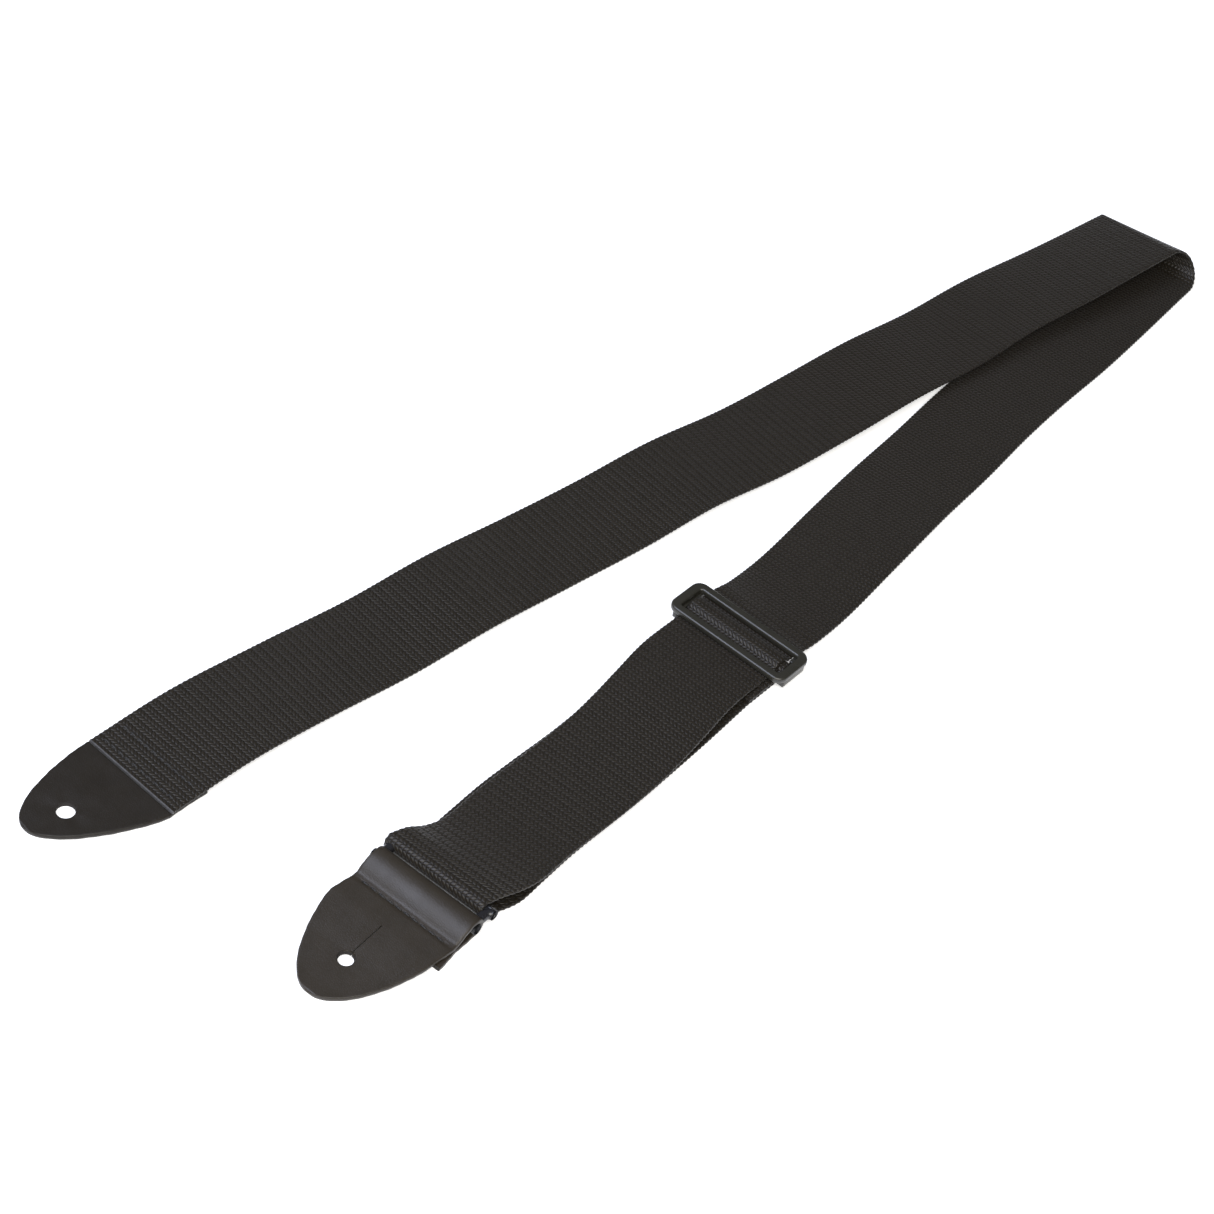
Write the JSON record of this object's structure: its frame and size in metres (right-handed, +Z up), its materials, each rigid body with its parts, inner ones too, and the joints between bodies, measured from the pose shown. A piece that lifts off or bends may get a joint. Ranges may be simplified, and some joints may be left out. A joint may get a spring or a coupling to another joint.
{
  "type": "guitar strap",
  "caption": "Adjustable woven webbing guitar strap with a sliding adjuster, an end ring and leather button tabs, lying folded in a narrow V.",
  "frame": {"origin": "centre of the bounding box, on the surface the strap lies on", "axes": "+X along the short leg toward the fold, +Y to the left of it, toward the long leg, +Z up"},
  "size_m": [0.684, 0.1807, 0.0171],
  "materials": {
    "webbing": "tight woven black webbing",
    "leather": "smooth dark leather, semi-gloss",
    "thread": "black bonded thread",
    "slider_plastic": "moulded black plastic",
    "ring_plastic": "smooth black coated ring"
  },
  "bodies": {
    "short_leg": {"short_leg_webbing": "webbing", "fold_webbing": "webbing"},
    "long_leg": {"long_leg_webbing": "webbing", "fixed_tab_lap": "leather", "fixed_tab_stitches": "thread"},
    "fixed_tab": {"fixed_tab_tongue": "leather"},
    "slider": {"tri_glide_slider": "slider_plastic", "slider_crossing_webbing": "webbing", "sewn_end_webbing": "webbing", "sewn_end_stitches": "thread"},
    "loop": {"loop_top_webbing": "webbing", "loop_return_webbing": "webbing", "ring_wrap_webbing": "webbing"},
    "ring": {"rectangular_ring": "ring_plastic"},
    "button_tab": {"button_tab_leather": "leather", "button_tab_stitches": "thread"}
  },
  "joints": [
    {"name": "length_adjust", "type": "slide", "parent": "short_leg", "child": "slider", "axis": [1, 0, 0], "range_m": [-0.08, 0.08], "deforming": ["short_leg_webbing"]},
    {"name": "loop_travel", "type": "slide", "parent": "slider", "child": "loop", "axis": [1, 0, 0], "range_m": [-0.04, 0.04], "deforming": ["loop_top_webbing", "loop_return_webbing", "sewn_end_webbing"]},
    {"name": "ring_swing", "type": "hinge", "parent": "loop", "child": "ring", "pos_m": [-0.2473, -0.055, 0.0046], "axis": [0, 1, 0], "range_deg": [0, 100]},
    {"name": "button_tab_swing", "type": "hinge", "parent": "ring", "child": "button_tab", "pos_m": [-0.2573, -0.055, 0.0046], "axis": [0, 1, 0], "range_deg": [0, 80]},
    {"name": "fold_open", "type": "hinge", "parent": "short_leg", "child": "long_leg", "pos_m": [0.331, -0.042, 0.0066], "axis": [0.1, 0.995, 0], "range_deg": [0, 170], "deforming": ["fold_webbing"]},
    {"name": "fixed_tab_flex", "type": "hinge", "parent": "long_leg", "child": "fixed_tab", "pos_m": [-0.2961, 0.0642, 0.0022], "axis": [0.0697, 0.9976, 0], "range_deg": [0, 90]}
  ],
  "couplings": [
    {"joint": "loop_travel", "follows": "length_adjust", "ratio": -0.5}
  ]
}
